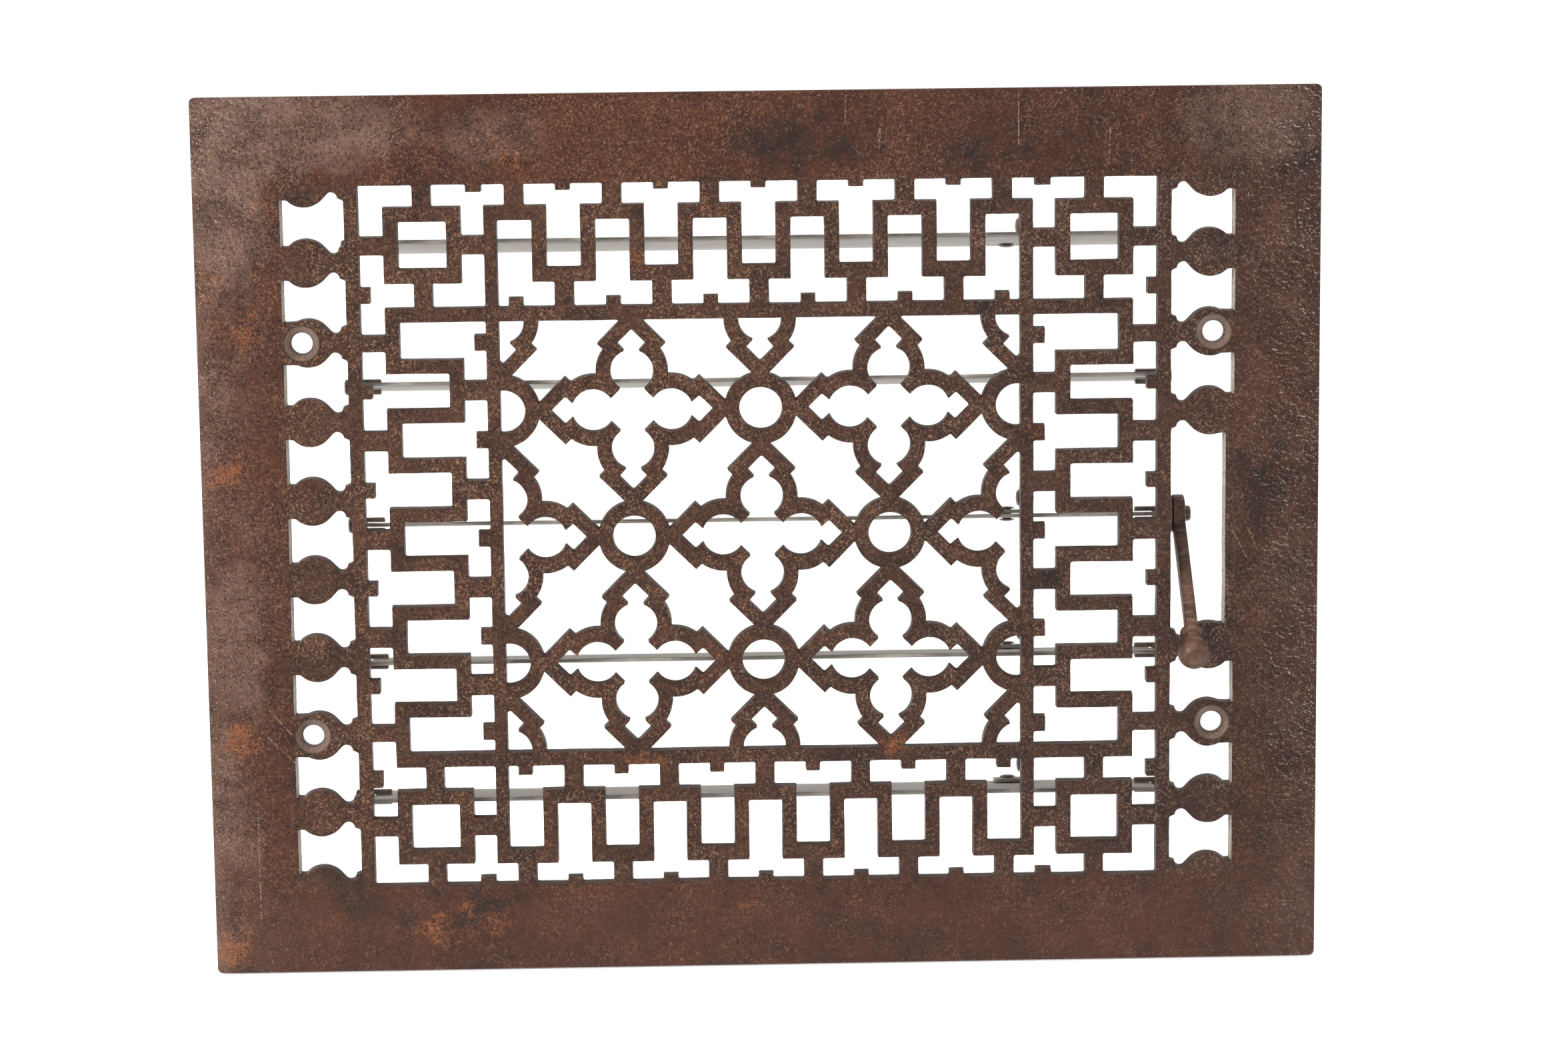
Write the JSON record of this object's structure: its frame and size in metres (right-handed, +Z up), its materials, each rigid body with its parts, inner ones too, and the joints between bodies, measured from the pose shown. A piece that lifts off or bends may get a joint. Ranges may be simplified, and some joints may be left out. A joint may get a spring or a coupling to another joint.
{
  "type": "louvred wall register",
  "caption": "Rectangular cast-iron wall register with a pierced key-and-quatrefoil face and a lever-worked louvre valve behind it.",
  "frame": {"origin": "middle of the face, on the flat back of the face plate that lies against the wall", "axes": "+X to the right along the long side, +Z up, +Y into the wall; the pierced face looks towards -Y"},
  "size_m": [0.3532, 0.0823, 0.2804],
  "materials": {
    "cast_iron_face": "rusty brown patina, matt, pitted",
    "sheet_steel": "dull zinc-coated sheet steel, stained, with a little rust",
    "steel_rod": "dark worn steel",
    "lever_iron": "hand-worn cast iron"
  },
  "bodies": {
    "frame": {"bottom_tie_bar": "sheet_steel", "face_plate": "cast_iron_face", "left_side_rail": "sheet_steel", "right_side_rail": "sheet_steel", "top_tie_bar": "sheet_steel", "valve_screw_1": "steel_rod", "valve_screw_2": "steel_rod", "valve_screw_3": "steel_rod", "valve_screw_4": "steel_rod"},
    "top_louvre": {"ear_rivet_1": "steel_rod", "left_trunnion_1": "steel_rod", "link_pin_1": "steel_rod", "louvre_blade_1": "sheet_steel", "louvre_ear_1": "sheet_steel", "right_trunnion_1": "steel_rod"},
    "upper_louvre": {"ear_rivet_2": "steel_rod", "left_trunnion_2": "steel_rod", "link_pin_2": "steel_rod", "louvre_blade_2": "sheet_steel", "louvre_ear_2": "sheet_steel", "right_trunnion_2": "steel_rod"},
    "middle_louvre": {"ear_rivet_3": "steel_rod", "left_trunnion_3": "steel_rod", "link_pin_3": "steel_rod", "louvre_blade_3": "sheet_steel", "louvre_ear_3": "sheet_steel", "lever_shaft": "steel_rod", "lever_arm": "lever_iron", "lever_knob": "lever_iron", "lever_set_screw": "steel_rod", "friction_washer": "steel_rod"},
    "lower_louvre": {"ear_rivet_4": "steel_rod", "left_trunnion_4": "steel_rod", "link_pin_4": "steel_rod", "louvre_blade_4": "sheet_steel", "louvre_ear_4": "sheet_steel", "right_trunnion_4": "steel_rod"},
    "bottom_louvre": {"ear_rivet_5": "steel_rod", "left_trunnion_5": "steel_rod", "link_pin_5": "steel_rod", "louvre_blade_5": "sheet_steel", "louvre_ear_5": "sheet_steel", "right_trunnion_5": "steel_rod"},
    "link": {"link_bar": "sheet_steel"}
  },
  "joints": [
    {"name": "lever_turn", "type": "hinge", "parent": "frame", "child": "middle_louvre", "pos_m": [0.1355, 0.0275, 0], "axis": [-1, 0, 0], "range_deg": [0, 78]},
    {"name": "top_louvre_turn", "type": "hinge", "parent": "frame", "child": "top_louvre", "pos_m": [0, 0.0275, 0.09], "axis": [-1, 0, 0], "range_deg": [0, 78]},
    {"name": "upper_louvre_turn", "type": "hinge", "parent": "frame", "child": "upper_louvre", "pos_m": [0, 0.0275, 0.045], "axis": [-1, 0, 0], "range_deg": [0, 78]},
    {"name": "lower_louvre_turn", "type": "hinge", "parent": "frame", "child": "lower_louvre", "pos_m": [0, 0.0275, -0.045], "axis": [-1, 0, 0], "range_deg": [0, 78]},
    {"name": "bottom_louvre_turn", "type": "hinge", "parent": "frame", "child": "bottom_louvre", "pos_m": [0, 0.0275, -0.09], "axis": [-1, 0, 0], "range_deg": [0, 78]},
    {"name": "link_turn", "type": "hinge", "parent": "middle_louvre", "child": "link", "pos_m": [0.08905, 0.05511, 0.00156], "axis": [-1, 0, 0], "range_deg": [-78, 0]}
  ],
  "couplings": [
    {"joint": "top_louvre_turn", "follows": "lever_turn", "ratio": 1},
    {"joint": "upper_louvre_turn", "follows": "lever_turn", "ratio": 1},
    {"joint": "lower_louvre_turn", "follows": "lever_turn", "ratio": 1},
    {"joint": "bottom_louvre_turn", "follows": "lever_turn", "ratio": 1},
    {"joint": "link_turn", "follows": "lever_turn", "ratio": -1}
  ]
}
